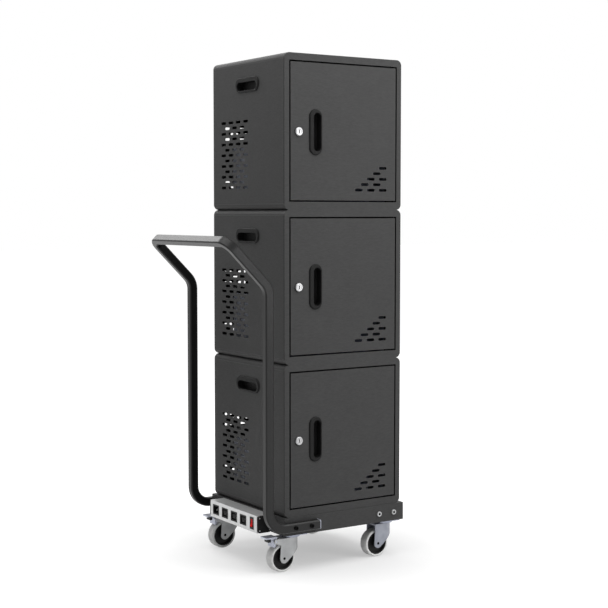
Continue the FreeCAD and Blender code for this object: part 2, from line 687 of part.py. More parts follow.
def make_rack(level):
    """A rack on the locker's floor that holds devices upright between dividers, and its floor plate."""
    name = f"{LEVELS[level]}_device_rack"
    front, rear = f"{FACE} + rack_setback", f"{HUB_FRONT} - rack_gap"
    half = "(locker_width / 2 - rack_side_gap)"
    plate = new_body(f"{name}_plate")
    add(plate, "XY", "sheet", "2 * sheet", rect(f"-{half}", half, front, rear))
    stand(plate, level)
    low, high = "2 * sheet", "2 * sheet + rack_height"
    outline = polygon([(front, low), (rear, low), (rear, high), (f"{front} + rack_corner", high),
                       (front, f"{high} - rack_corner")])
    pieces = [plate]
    bays = int(num(f"(2 * {half} - sheet) / rack_pitch"))
    for i in range(bays + 1):
        divider = new_body(f"{name}_divider_{i + 1}")
        place_x = f"({i} - {bays} / 2) * rack_pitch"
        add(divider, "YZ", f"{place_x} - sheet / 2", f"{place_x} + sheet / 2", outline)
        stand(divider, level)
        pieces.append(divider)
    return pieces


def make_hub(level):
    """The charging hub on the locker's rear panel, with a row of ports."""
    body = new_body(f"{LEVELS[level]}_charging_hub")
    add(body, "XY", "hub_rise", "hub_rise + hub_height",
        rect("-hub_width / 2", "hub_width / 2", HUB_FRONT, f"{REAR} - sheet"))
    bevel_edges(body, "hub_bevel", lambda edge: edge.BoundBox.ZLength > num("hub_height") / 2)
    middle = "hub_rise + hub_height / 2"
    port = cut(body, "XZ", HUB_FRONT, f"{HUB_FRONT} + port_depth",
               rect("2.5 * port_pitch - port_width / 2", "2.5 * port_pitch + port_width / 2",
                    f"{middle} - port_height / 2", f"{middle} + port_height / 2"))
    repeat(body, port, "X", "port_pitch", 6)
    stand(body, level)
    return body


SIDE_PULL_Z = "locker_height - side_pull_drop"
FACING_LEFT = Rotation(Vector(0, 0, 1), -90) * Rotation(Vector(0, 1, 0), 90)
FACING_RIGHT = Rotation(Vector(0, 0, 1), 90) * Rotation(Vector(0, 1, 0), 90)

trays, covers, backs, racks, hubs, side_pulls, hinge_pins = [], [], [], [], [], [], []
for level, name in enumerate(LEVELS):
    make_side(f"{name}_left_side", level, f"-{SIDE}", True)
    make_side(f"{name}_right_side", level, f"{SIDE} - sheet", False)
    make_front_frame(f"{name}_front_frame", level)
    make_door(f"{name}_door", level)
    make_lock(level)
    base = level_base(level)
    pull = make_pull(f"{name}_door_pull", f"{LOCKER_X} + {PULL_X}", f"{LOCKER_Y} + {FACE}",
                     f"{base} + {LOCK_Z}")
    keep(pull, f"{name}_door_pull")
    for side, turn, sign in (("left", FACING_LEFT, -1), ("right", FACING_RIGHT, 1)):
        side_pulls.append(make_pull(f"{name}_{side}_pull", f"{LOCKER_X} + {sign} * {SIDE}", LOCKER_Y,
                                    f"{base} + {SIDE_PULL_Z}", turn))
    trays.append(make_tray(f"{name}_tray", level, False))
    covers.append(make_tray(f"{name}_cover", level, True))
    backs.append(make_back_panel(level))
    racks += make_rack(level)
    hubs.append(make_hub(level))
    hinge_pins += make_hinge_pins(level)

group("bottom_trays", trays)
group("top_covers", covers)
group("back_panels", backs)
group("device_racks", racks)
group("charging_hubs", hubs)
group("side_pulls", side_pulls)
group("hinge_pins", hinge_pins)


# The base: two channel rails along X, joined by cross members along Y.

HANDLE_BOLTS = [f"{BASE_LEFT} + foot_run - handle_bolt_from_end - {i} * bolt_spacing" for i in range(2)]
RAIL_BOLTS = [f"{BASE_RIGHT} - rail_bolt_from_end - {i} * bolt_spacing" for i in range(2)]
INTO_FRONT = Rotation(Vector(1, 0, 0), -90)
INTO_REAR = Rotation(Vector(1, 0, 0), 90)


def make_rail(label, sign):
    """A channel rail that opens inwards, with closed ends; sign is -1 in front and 1 behind."""
    face, inside = f"{sign} * {BASE_HALF}", f"{sign} * ({BASE_HALF} - rail_depth)"
    web = f"{sign} * ({BASE_HALF} - rail_wall)"
    low, high = (face, inside) if sign < 0 else (inside, face)
    hollow_low, hollow_high = (web, inside) if sign < 0 else (inside, web)
    web_low, web_high = (face, web) if sign < 0 else (web, face)
    body = new_body(label)
    add(body, "XZ", low, high, rect(BASE_LEFT, BASE_RIGHT, "caster_height", BASE_TOP))
    cut(body, "XZ", hollow_low, hollow_high,
        rect(f"{BASE_LEFT} + rail_wall", f"{BASE_RIGHT} - rail_wall",
             "caster_height + rail_wall", f"{BASE_TOP} - rail_wall"))
    cut(body, "XZ", web_low, web_high,
        several(*[circle(x, RAIL_MIDDLE, "bolt_radius") for x in HANDLE_BOLTS + RAIL_BOLTS]))
    return keep(body, label)


def make_cross_member(name, end, inwards):
    """A channel between the rails, its web at one end of the base."""
    reach, wall = f"{end} + {inwards} * member_depth", f"{end} + {inwards} * rail_wall"
    low, high = "caster_height", BASE_TOP
    body = new_body(name)
    add(body, "XZ", f"rail_depth - {BASE_HALF}", f"{BASE_HALF} - rail_depth", polygon([
        (end, low), (reach, low), (reach, f"{low} + rail_wall"), (wall, f"{low} + rail_wall"),
        (wall, f"{high} - rail_wall"), (reach, f"{high} - rail_wall"), (reach, high), (end, high),
    ]))
    return body


def make_bolt(name, x, face, sign, grip, head):
    """A button-head bolt with a hex socket and its nut, through a face that looks along sign * Y."""
    turn = INTO_FRONT if sign < 0 else INTO_REAR
    top = f"{face} + {sign} * bolt_head_height"
    bolt = fused(f"{name}_blank", [
        cylinder(f"{name}_head", head, "bolt_head_height", x, top, RAIL_MIDDLE, turn),
        cylinder(f"{name}_shank", "bolt_radius", grip, x, face, RAIL_MIDDLE, turn),
        hexagon(f"{name}_nut", head, "bolt_nut_height",
                x, f"{face} - {sign} * ({grip})", RAIL_MIDDLE, turn),
    ])
    socket = hexagon(f"{name}_socket", f"socket_share * {head}", "bolt_socket_depth",
                     x, top, RAIL_MIDDLE, turn)
    return drilled(name, bolt, [socket])


make_rail("front_rail", -1)
make_rail("rear_rail", 1)
group("cross_members", [make_cross_member("handle_end_member", BASE_LEFT, 1),
                        make_cross_member("far_end_member", BASE_RIGHT, -1)])
handle_bolts, rail_bolts = [], []
for sign, end in ((-1, "front"), (1, "rear")):
    for i in range(2):
        foot_face, rail_face = f"{sign} * ({BASE_HALF} + tube_depth)", f"{sign} * {BASE_HALF}"
        handle_bolts.append(make_bolt(f"{end}_handle_bolt_{i}", HANDLE_BOLTS[i], foot_face, sign,
                                      "tube_depth + rail_wall", "handle_bolt_head"))
        rail_bolts.append(make_bolt(f"{end}_rail_bolt_{i}", RAIL_BOLTS[i], rail_face, sign,
                                    "rail_wall", "rail_bolt_head"))
group("handle_bolts", handle_bolts)
group("rail_bolts", rail_bolts)


# The push handle: one tube bent at the feet, in the legs and at the ends of the grip.

def tube_wire(depth, height, bevel):
    """A rectangular wire across X, about the origin, with its corners cut off if a bevel is given."""
    y, z = depth / 2, height / 2
    corners = [(y, -z), (y, z)]
    if bevel:
        corners = [(y - bevel, -z), (y, bevel - z), (y, z - bevel), (y - bevel, z)]
    corners += [(-a, -b) for a, b in corners]
    points = [Vector(0, a, b) for a, b in corners]
    return Part.makePolygon(points + points[:1])


def make_push_handle():
    """Half the tube, run from the end of a foot to the middle of the grip, and its mirror image."""
    depth, height = num("tube_depth"), num("tube_height")
    bevel, wall = num("tube_corner"), num("tube_wall")
    outer = tube_wire(depth, height, bevel)
    inner = tube_wire(depth - 2 * wall, height - 2 * wall, 0)
    section = Part.makeFace([outer, inner], "Part::FaceMakerBullseye")
    start = Vector(num(f"{BASE_LEFT} + foot_run - foot_cap"), num(f"-{BASE_HALF} - tube_depth / 2"),
                   num(RAIL_MIDDLE))
    section.translate(start)
    leg_bend, grip_bend, slope_rise = num("leg_bend"), num("grip_bend"), num("slope_rise")
    half_turn = leg_bend * math.tan(math.radians(22.5))
    foot_length = start.x - num(LEG_X) - leg_bend
    leg_length = num(f"{BASE_TOP} + leg_rise") - half_turn - start.z - leg_bend
    slope_length = slope_rise * math.sqrt(2) - half_turn - grip_bend
    grip_length = -start.y - grip_bend
    across = Vector(0, 1, 0)
    here, heading = start, Vector(-1, 0, 0)
    pieces = []
    # Each run is a straight length, then a bend: its axis, its angle and its radius.
    runs = [(foot_length, across, 90, leg_bend), (leg_length, across, -45, leg_bend),
            (slope_length, None, 90, grip_bend), (grip_length, None, 0, 0)]
    for length, axis, angle, radius in runs:
        pieces.append(section.extrude(heading * length))
        section.translate(heading * length)
        here = here + heading * length
        if angle == 0:
            continue
        axis = axis or heading.cross(across)
        turn = Rotation(axis, angle)
        towards = axis.cross(heading) * math.copysign(1, angle)
        centre = here + towards * radius
        pieces.append(section.revolve(centre, axis, angle))
        section.rotate(centre, axis, angle)
        here = centre + turn.multVec(here - centre)
        heading = turn.multVec(heading)
    half = pieces[0].multiFuse(pieces[1:])
    whole = half.fuse(half.mirror(Vector(), across)).removeSplitter()
    holes = [Part.makeCylinder(num("bolt_radius"), num(f"2 * ({BASE_HALF} + tube_depth)"),
                               Vector(num(x), num(f"-{BASE_HALF} - tube_depth"), num(RAIL_MIDDLE)), across)
             for x in HANDLE_BOLTS]
    handle = doc.addObject("Part::Feature", "push_handle")
    handle.Shape = whole.cut(holes).Solids[0]
    return keep(handle, "push_handle")


def make_foot_cap(name, sign):
    """A plug over the open end of a handle foot."""
    body = new_body(name)
    middle = f"{sign} * ({BASE_HALF} + tube_depth / 2)"
    end = f"{BASE_LEFT} + foot_run"
    add(body, "YZ", f"{end} - foot_cap", end,
        bevelled_rect(f"{middle} - tube_depth / 2", f"{middle} + tube_depth / 2",
                      f"{RAIL_MIDDLE} - tube_height / 2", f"{RAIL_MIDDLE} + tube_height / 2", "tube_corner"))
    bevel_edges(body, "foot_cap / 3", lambda edge: edge.BoundBox.XMin > num(f"{end} - foot_cap / 2"))
    return body


make_push_handle()
group("handle_end_caps", [make_foot_cap("front_foot_cap", -1), make_foot_cap("rear_foot_cap", 1)])


# The power strip between the handle's feet: an extruded housing with an inlet, outlets and a switch.

STRIP_END = f"({BASE_HALF} - strip_inset)"
STRIP_HALF = f"({STRIP_END} - strip_cap)"
INLET_Y = f"({STRIP_END} - inlet_from_end)"
OUTLETS = [f"({STRIP_END} - outlet_from_end - {i} * outlet_pitch)" for i in range(3)]
SWITCH_Y = f"(switch_from_end - {STRIP_END})"
SOCKET_BODY = ("socket_width - 2 * socket_lip", "socket_height - 2 * socket_lip")
BEZEL_BODY = ("bezel_width - 2 * socket_lip", "bezel_height - 2 * socket_lip")
CAP_SCREWS = [(x, z) for x in (f"{STRIP_FACE} + cap_screw_inset", f"{BASE_LEFT} - cap_screw_inset")
              for z in (f"{STRIP_TOP} - cap_screw_inset", f"{STRIP_LOW} + cap_screw_inset")]
ROCKER_X = f"({STRIP_FACE} + rocker_dip)"


def around(y, width, height, margin="0"):
    """A rectangle on the strip's face about a place along it."""
    return rect(f"{y} - ({width}) / 2 - {margin}", f"{y} + ({width}) / 2 + {margin}",
                f"{STRIP_MIDDLE} - ({height}) / 2 - {margin}", f"{STRIP_MIDDLE} + ({height}) / 2 + {margin}")


def make_strip():
    body = new_body("power_strip")
    add(body, "XZ", f"-{STRIP_HALF}", STRIP_HALF, several(
        rect(STRIP_FACE, BASE_LEFT, STRIP_LOW, STRIP_TOP),
        rect(f"{STRIP_FACE} + strip_wall", f"{BASE_LEFT} - strip_wall",
             f"{STRIP_LOW} + strip_wall", f"{STRIP_TOP} - strip_wall")))
    openings = [around(y, *SOCKET_BODY, "seat_clearance") for y in [INLET_Y] + OUTLETS]
    openings.append(around(SWITCH_Y, *BEZEL_BODY, "seat_clearance"))
    cut(body, "YZ", STRIP_FACE, f"{STRIP_FACE} + strip_wall", several(*openings))
    return keep(body, "power_strip")


def make_socket(name, y):
    """A flanged socket body seated in the strip's face, with its cavity."""
    body = new_body(name)
    front, floor = f"{STRIP_FACE} - socket_proud", f"{STRIP_FACE} + socket_mouth_depth"
    add(body, "YZ", front, STRIP_FACE, around(y, "socket_width", "socket_height"))
    add(body, "YZ", STRIP_FACE, f"{STRIP_FACE} + socket_depth", around(y, *SOCKET_BODY))
    cut(body, "YZ", front, floor, around(y, "socket_mouth_width", "socket_mouth_height"))
    return body, floor


def contacts(y):
    """Three blades or blade holes: two beside each other and the earth between and above them."""
    blades = []
    for column, rise in ((-1, -1), (1, -1), (0, 1)):
        middle_y = f"{y} + {column} * contact_spacing"
        middle_z = f"{STRIP_MIDDLE} + {rise} * contact_height / 2"
        blades.append(rect(f"{middle_y} - contact_width / 2", f"{middle_y} + contact_width / 2",
                           f"{middle_z} - contact_height / 2", f"{middle_z} + contact_height / 2"))
    return several(*blades)


def make_inlet():
    body, floor = make_socket("strip_inlet", INLET_Y)
    add(body, "YZ", f"{floor} - contact_length", floor, contacts(INLET_Y))
    return keep(body, "strip_inlet")


def make_outlet(name, y):
    body, floor = make_socket(name, y)
    front = f"{STRIP_FACE} + socket_proud"
    add(body, "YZ", front, floor, around(y, "core_width", "core_height"))
    cut(body, "YZ", front, f"{front} + contact_length", contacts(y))
    return body


def make_strip_cap(name, sign):
    """An end cap with cut-off corners."""
    low, high = (f"-{STRIP_END}", f"-{STRIP_HALF}") if sign < 0 else (STRIP_HALF, STRIP_END)
    body = new_body(name)
    add(body, "XZ", low, high,
        bevelled_rect(STRIP_FACE, BASE_LEFT, STRIP_LOW, STRIP_TOP, "strip_cap_chamfer"))
    return body


def make_cap_screws(sign):
    """The heads of the four screws that hold an end cap."""
    end, turn = ("front", INTO_FRONT) if sign < 0 else ("rear", INTO_REAR)
    face = f"{sign} * ({STRIP_END} + cap_screw_height)"
    return [hexagon(f"{end}_cap_screw_{i}", "cap_screw_radius", "cap_screw_height", x, face, z, turn)
            for i, (x, z) in enumerate(CAP_SCREWS)]


def make_switch():
    """A framed rocker switch; at rest the rocker's lower end stands out."""
    bezel = new_body("switch_bezel")
    inner_width, inner_height = "bezel_width - 2 * bezel_wall", "bezel_height - 2 * bezel_end"
    front, back = f"{STRIP_FACE} - bezel_proud", f"{STRIP_FACE} + bezel_depth"
    add(bezel, "YZ", front, STRIP_FACE, around(SWITCH_Y, "bezel_width", "bezel_height"))
    add(bezel, "YZ", STRIP_FACE, back, around(SWITCH_Y, *BEZEL_BODY))
    cut(bezel, "YZ", front, back, around(SWITCH_Y, inner_width, inner_height))
    cut(bezel, "XZ", f"{SWITCH_Y} - bezel_width / 2", f"{SWITCH_Y} + bezel_width / 2",
        circle(ROCKER_X, STRIP_MIDDLE, "rocker_pin_radius + running_clearance"))
    keep(bezel, "switch_bezel")

    rocker = new_body("rocker_switch")
    half, edge = num(f"({inner_height}) / 2 - rocker_clearance"), num("rocker_edge")
    rise, dip, back = num("rocker_rise"), num("rocker_dip"), -num("2 * rocker_pin_radius")
    tilt = math.radians(num("rocker_tilt"))

    def face(sketch):
        level = [(rise, half), (rise, half - edge), (dip, 0), (rise, edge - half), (rise, -half),
                 (0, -half), (back, 0), (0, half)]
        middle = Vector(num(ROCKER_X), num(STRIP_MIDDLE), 0)
        trace(sketch, [middle + Vector(-out * math.cos(tilt) + up * math.sin(tilt),
                                       up * math.cos(tilt) + out * math.sin(tilt), 0) for out, up in level])

    side, pin_end = f"(({inner_width}) / 2 - seat_clearance)", f"(({BEZEL_BODY[0]}) / 2)"
    add(rocker, "XZ", f"{SWITCH_Y} - {side}", f"{SWITCH_Y} + {side}", face)
    add(rocker, "XZ", f"{SWITCH_Y} - {pin_end}", f"{SWITCH_Y} + {pin_end}",
        circle(ROCKER_X, STRIP_MIDDLE, "rocker_pin_radius"))
    keep(rocker, "rocker_switch")


make_strip()
make_inlet()
group("strip_outlets", [make_outlet(f"outlet_{i}", y) for i, y in enumerate(OUTLETS)])
group("strip_end_caps", [make_strip_cap("front_strip_cap", -1), make_strip_cap("rear_strip_cap", 1)])
group("strip_screws", make_cap_screws(-1) + make_cap_screws(1))
make_switch()


# The casters. Each is drawn about its swivel axis on the floor, with the wheel trailing towards -X.

CASTERS = {
    "front_left": (f"{BASE_LEFT} + caster_inset", f"caster_setback - {BASE_HALF}"),
    "rear_left": (f"{BASE_LEFT} + caster_inset", f"{BASE_HALF} - caster_setback"),
    "front_right": (f"{BASE_RIGHT} - caster_inset", f"caster_setback - {BASE_HALF}"),
    "rear_right": (f"{BASE_RIGHT} - caster_inset", f"{BASE_HALF} - caster_setback"),
}
BRAKED = ["front_left", "rear_left"]
AXLE_X = "(-caster_trail)"
NOSE_X = f"({AXLE_X} + fork_flat)"
FORK_FRONT = f"({NOSE_X} + fork_nose)"
PIVOT_X = "(-pedal_pivot_reach)"


def make_caster_plate(name, x, y):
    """The fixed top plate with the upper half of the swivel bearing."""
    body = new_body(name)
    race_low = "caster_height - plate_thickness - race_height"
    add(body, "XY", race_low, "caster_height - plate_thickness", circle("0", "0", "race_radius"))
    add(body, "XY", "caster_height - plate_thickness", "caster_height",
        rect("-plate_size / 2", "plate_size / 2", "-plate_size / 2", "plate_size / 2"))
    cut(body, "XY", race_low, "caster_height", circle("0", "0", "kingpin_radius + running_clearance"))
    place(body, x, y)
    return body


def nose(inset, corners):
    """An outline along the fork's rounded front, inset by a wall, that closes through given corners."""
    def draw(sketch):
        middle, half, reach = Vector(num(NOSE_X), 0, 0), num(FORK_OUTSIDE) - inset, num("fork_nose") - inset
        front = Part.Ellipse(middle, reach, half)
        sketch.addGeometry(Part.ArcOfEllipse(front, -math.pi / 2, math.pi / 2))
        points = [middle + Vector(0, half, 0)] + corners + [middle - Vector(0, half, 0)]
        for start, end in zip(points, points[1:]):
            sketch.addGeometry(Part.LineSegment(start, end))
    return draw


def make_fork(corner, x, y):
    """A pressed fork with flat cheeks, a rounded front, the swivel pin and the axle; ears for a brake."""
    body = new_body(f"{corner}_fork")
    eye, back, pivot = "fork_eye_radius", f"{AXLE_X} - fork_back", "pedal_pivot_height"
    rise, run = num("fork_front_low - wheel_radius"), num(f"{FORK_FRONT} - {AXLE_X}")
    tangent = math.atan2(rise, run) - math.acos(num(eye) / math.hypot(rise, run))
    side = [(AXLE_X, "wheel_radius"), (f"{AXLE_X} - {eye}", "wheel_radius"),
            (back, f"{pivot} - fork_ear_drop")]
    if corner in BRAKED:
        side += [(PIVOT_X, f"{pivot} - fork_ear_radius"), (PIVOT_X, f"{pivot} + fork_ear_radius")]
    side += [(back, CROWN_TOP), (FORK_FRONT, CROWN_TOP), (FORK_FRONT, "fork_front_low"),
             (f"{AXLE_X} + {eye} * {math.cos(tangent)}", f"wheel_radius + {eye} * {math.sin(tangent)}")]
    add(body, "XZ", f"-{FORK_OUTSIDE}", FORK_OUTSIDE, polygon(side))
    add(body, "XZ", f"-{FORK_OUTSIDE}", FORK_OUTSIDE, circle(AXLE_X, "wheel_radius", eye))
    if corner in BRAKED:
        add(body, "XZ", f"-{FORK_OUTSIDE}", FORK_OUTSIDE, circle(PIVOT_X, pivot, "fork_ear_radius"))

    start, beyond, far = num(NOSE_X), num(FORK_FRONT) + num("fork_wall"), 2 * num(FORK_OUTSIDE)
    around_front = [Vector(start, far, 0), Vector(beyond, far, 0),
                    Vector(beyond, -far, 0), Vector(start, -far, 0)]
    tail, inside = num(f"{AXLE_X} - 2 * wheel_radius"), num(FORK_INSIDE)
    behind = [Vector(tail, inside, 0), Vector(tail, -inside, 0)]
    cut(body, "XY", "0", "caster_height", nose(0, around_front))
    cut(body, "XY", "0", CROWN_LOW, nose(num("fork_wall"), behind))
    cut(body, "XY", CROWN_LOW, "caster_height",
        rect(f"{AXLE_X} - 2 * wheel_radius", back, f"-{FORK_INSIDE}", FORK_INSIDE))
    if corner in BRAKED:
        cut(body, "XZ", f"-{FORK_OUTSIDE}", FORK_OUTSIDE,
            circle(PIVOT_X, pivot, "pedal_pin_radius + running_clearance"))
    add(body, "XZ", f"-{FORK_OUTSIDE}", FORK_OUTSIDE, circle(AXLE_X, "wheel_radius", "axle_radius"))
    socket = hex_outline(AXLE_X, "wheel_radius", "axle_socket_radius")
    cut(body, "XZ", f"-{FORK_OUTSIDE}", f"axle_socket_depth - {FORK_OUTSIDE}", socket)
    cut(body, "XZ", f"{FORK_OUTSIDE} - axle_socket_depth", FORK_OUTSIDE, socket)
    add(body, "XY", CROWN_TOP, "caster_height - plate_thickness", circle("0", "0", "kingpin_radius"))
    place(body, x, y)
    return keep(body, f"{corner}_fork")


def make_wheel(corner, x, y):
    """A tyre with rounded shoulders on a dished centre that runs on the axle."""
    tyre = new_body(f"{corner}_tyre")
    half = "tread_width / 2"
    nip = "tyre_rounding * (1 - sqrt(0.5))"
    shoulder = [(half, "wheel_radius - tyre_rounding"), (f"{half} - {nip}", f"wheel_radius - {nip}"),
                (f"{half} - tyre_rounding", "wheel_radius")]
    mirrored = [(f"-({along})", radius) for along, radius in reversed(shoulder)]
    revolved(tyre, [(f"-{half}", HUB_RADIUS), (half, HUB_RADIUS)] + shoulder + mirrored)
    place(tyre, f"{x} + {AXLE_X}", y, "wheel_radius")
    keep(tyre, f"{corner}_tyre")

    hub = new_body(f"{corner}_hub")
    side = f"({half} - hub_recess)"
    add(hub, "XZ", f"-{side}", side, circle("0", "0", HUB_RADIUS))
    dish = several(circle("0", "0", f"{HUB_RADIUS} - hub_rim"), circle("0", "0", "hub_boss_radius"))
    cut(hub, "XZ", f"-{side}", f"-{side} + hub_dish_depth", dish)
    cut(hub, "XZ", f"{side} - hub_dish_depth", side, dish)
    cut(hub, "XZ", f"-{side}", side, circle("0", "0", "axle_radius + running_clearance"))
    place(hub, f"{x} + {AXLE_X}", y, "wheel_radius")
    keep(hub, f"{corner}_hub")


def make_pedal(corner, x, y):
    """A brake pedal on a pin through the fork's ears: a blade, a tongue that meets the tyre, a stop block."""
    lever = new_body(f"{corner}_pedal_lever")
    half, eye = "pedal_width / 2", "2 * pedal_pin_radius"
    blade = "pedal_rise - pedal_thickness"
    add(lever, "XZ", f"-{half}", half, polygon([
        ("-pedal_reach", blade), ("-pedal_reach", "pedal_rise"), (eye, "pedal_rise"), (eye, "0"),
        ("tongue_thickness - tongue_back", "-tongue_length"), ("-tongue_back", "-tongue_length"),
        (f"-{eye}", "0"), ("-pedal_knee_reach", blade),
    ]))
    add(lever, "XZ", f"-{FORK_OUTSIDE}", FORK_OUTSIDE, circle("0", "0", "pedal_pin_radius"))
    pivot = (f"{x} + {PIVOT_X}", y, "pedal_pivot_height")
    place(lever, *pivot)

    block = new_body(f"{corner}_stop_block")
    near, far = "-block_start", "-block_start - block_length"
    slope = f"({blade}) / (pedal_knee_reach - {eye})"
    add(block, "XZ", "-block_width / 2", "block_width / 2", polygon([
        (near, f"(block_start - {eye}) * {slope}"), ("-pedal_knee_reach", blade), (far, blade),
        (far, "-block_low"), (near, "-block_low"),
    ]))
    place(block, *pivot)
    return group(f"{corner}_brake_pedal", [lever, block])


group("caster_plates", [make_caster_plate(f"{corner}_plate", x, y) for corner, (x, y) in CASTERS.items()])
for corner, (x, y) in CASTERS.items():
    make_fork(corner, x, y)
    make_wheel(corner, x, y)
    if corner in BRAKED:
        make_pedal(corner, x, y)


# Check and write every piece.

doc.recompute()
failed = [item.Name for item in doc.Objects if "Invalid" in item.State or "Error" in item.State]
if failed:
    raise RuntimeError(f"failed features: {failed}")
for item in sub_parts:
    if item.Shape.isNull() or not item.Shape.isValid():
        raise RuntimeError(f"bad shape: {item.Label}")

os.makedirs("parts", exist_ok=True)
for item in sub_parts:
    item.Shape.exportStep(os.path.join("parts", f"{item.Label}.step"))
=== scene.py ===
import math

import bpy
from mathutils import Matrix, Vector


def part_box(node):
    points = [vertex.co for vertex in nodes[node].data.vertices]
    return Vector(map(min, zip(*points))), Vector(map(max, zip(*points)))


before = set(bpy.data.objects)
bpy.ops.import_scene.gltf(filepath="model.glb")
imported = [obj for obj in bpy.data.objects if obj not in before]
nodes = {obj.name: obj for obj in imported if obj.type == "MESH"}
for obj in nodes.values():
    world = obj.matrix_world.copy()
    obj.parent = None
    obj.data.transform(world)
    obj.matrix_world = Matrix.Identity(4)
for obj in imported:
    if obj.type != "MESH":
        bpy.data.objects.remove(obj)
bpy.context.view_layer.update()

scene = bpy.context.scene

LEVELS = ["lower", "middle", "upper"]
CORNERS = ["front_left", "rear_left", "front_right", "rear_right"]
BRAKED_CORNERS = ["front_left", "rear_left"]

# Where a Mix node has its two inputs and its result, for numbers and for colours.
NUMBER_A, NUMBER_B, NUMBER_RESULT = 2, 3, 0
COLOUR_A, COLOUR_B, COLOUR_RESULT = 6, 7, 2

# Noise stays mostly between these two values.
NOISE_LOW, NOISE_HIGH = 0.3, 0.7


# Materials. Every pattern lies in the pieces' own coordinates, in metres.

def srgb(level):
    """A display level from 0 to 255 as a linear value."""
    value = level / 255
    return value / 12.92 if value <= 0.04045 else ((value + 0.055) / 1.055) ** 2.4


def colour(red, green, blue):
    """A colour from its display levels."""
    return (srgb(red), srgb(green), srgb(blue), 1.0)


def grey(level):
    """A neutral colour from one display level."""
    return colour(level, level, level)


# A side panel gets a painted highlight along its level edges, and painted shade along its joint against the
# front.
HIGHLIGHT_LINE_WIDTH = 0.0012
PAINTED_HIGHLIGHT_TONE = grey(78)
FRONT_SHADE_WIDTH = 0.0024
PAINTED_FRONT_SHADE_TONE = grey(16)


class Graph:
    """A material's node tree with short ways to add to it."""

    def __init__(self, name):
        self.material = bpy.data.materials.new(name)
        self.material.use_nodes = True
        self.tree = self.material.node_tree
        self.tree.nodes.clear()
        output = self.add("ShaderNodeOutputMaterial")
        self.shader = self.add("ShaderNodeBsdfPrincipled")
        self.link(self.shader.outputs["BSDF"], output.inputs["Surface"])
        self.place = self.add("ShaderNodeTexCoord").outputs["Object"]

    def add(self, kind, **settings):
        """A new node with its settings."""
        node = self.tree.nodes.new(kind)
        for key, value in settings.items():
            setattr(node, key, value)
        return node

    def link(self, source, target):
        """Join an output to an input."""
        self.tree.links.new(source, target)

    def set(self, **values):
        """Set the shader's own sockets. An underscore stands for a space."""
        for key, value in values.items():
            self.shader.inputs[key.replace("_", " ")].default_value = value

    def noise(self, scale, detail=3.0, roughness=0.55, stretch=None):
        """Noise over the piece, stretched along the axes if asked."""
        node = self.add("ShaderNodeTexNoise")
        node.inputs["Scale"].default_value = scale
        node.inputs["Detail"].default_value = detail
        node.inputs["Roughness"].default_value = roughness
        place = self.place
        if stretch is not None:
            mapping = self.add("ShaderNodeMapping")
            mapping.inputs["Scale"].default_value = stretch
            self.link(self.place, mapping.inputs["Vector"])
            place = mapping.outputs["Vector"]
        self.link(place, node.inputs["Vector"])
        return node.outputs["Fac"]

    def ramp(self, factor, low, high):
        """A colour that runs from low to high with a noise."""
        node = self.add("ShaderNodeValToRGB")
        start, end = node.color_ramp.elements
        start.position = NOISE_LOW
        start.color = low
        end.position = NOISE_HIGH
        end.color = high
        self.link(factor, node.inputs["Fac"])
        return node.outputs["Color"]

    def spread(self, factor, low, high):
        """A number that runs from low to high with a noise."""
        node = self.add("ShaderNodeMapRange")
        node.inputs["From Min"].default_value = NOISE_LOW
        node.inputs["From Max"].default_value = NOISE_HIGH
        node.inputs["To Min"].default_value = low
        node.inputs["To Max"].default_value = high
        self.link(factor, node.inputs["Value"])
        return node.outputs["Result"]

    def mix(self, first, second, share):
        """Two numbers blended, with the second one's share."""
        node = self.add("ShaderNodeMix", data_type="FLOAT")
        node.inputs["Factor"].default_value = share
        self.link(first, node.inputs[NUMBER_A])
        self.link(second, node.inputs[NUMBER_B])
        return node.outputs[NUMBER_RESULT]

    def math(self, operation, first, second):
        """One sum on two inputs, each an output or a number."""
        node = self.add("ShaderNodeMath", operation=operation)
        for socket, value in zip(node.inputs, (first, second)):
            if isinstance(value, float):
                socket.default_value = value
            else:
                self.link(value, socket)
        return node.outputs[0]

    def line(self, coat, gap, width, tone):
        """The coat, with another tone where a gap is smaller than the line's width."""
        node = self.add("ShaderNodeMix", data_type="RGBA")
        self.link(self.math("LESS_THAN", gap, width), node.inputs["Factor"])
        self.link(coat, node.inputs[COLOUR_A])
        node.inputs[COLOUR_B].default_value = tone
        return node.outputs[COLOUR_RESULT]

    def painted_edge_lines(self, coat, panel):
        """The coat with a painted highlight along a side panel's level edges and painted shade along its
        joint against the front.
        """
        low, high = panel
        split = self.add("ShaderNodeSeparateXYZ")
        self.link(self.place, split.inputs[0])
        offset = self.math("SUBTRACT", split.outputs["Z"], (low.z + high.z) / 2)
        level_gap = self.math("SUBTRACT", (high.z - low.z) / 2, self.math("ABSOLUTE", offset, 0.0))
        front_gap = self.math("SUBTRACT", split.outputs["Y"], low.y)
        coat = self.line(coat, level_gap, HIGHLIGHT_LINE_WIDTH, PAINTED_HIGHLIGHT_TONE)
        return self.line(coat, front_gap, FRONT_SHADE_WIDTH, PAINTED_FRONT_SHADE_TONE)

    def bump(self, height, depth, strength):
        """Raise the surface by a height, to a depth in metres."""
        node = self.add("ShaderNodeBump")
        node.inputs["Strength"].default_value = strength
        node.inputs["Distance"].default_value = depth
        self.link(height, node.inputs["Height"])
        self.link(node.outputs["Normal"], self.shader.inputs["Normal"])

    def surface(self, base, rough):
        """Give the shader its colour and its roughness."""
        self.link(base, self.shader.inputs["Base Color"])
        self.link(rough, self.shader.inputs["Roughness"])


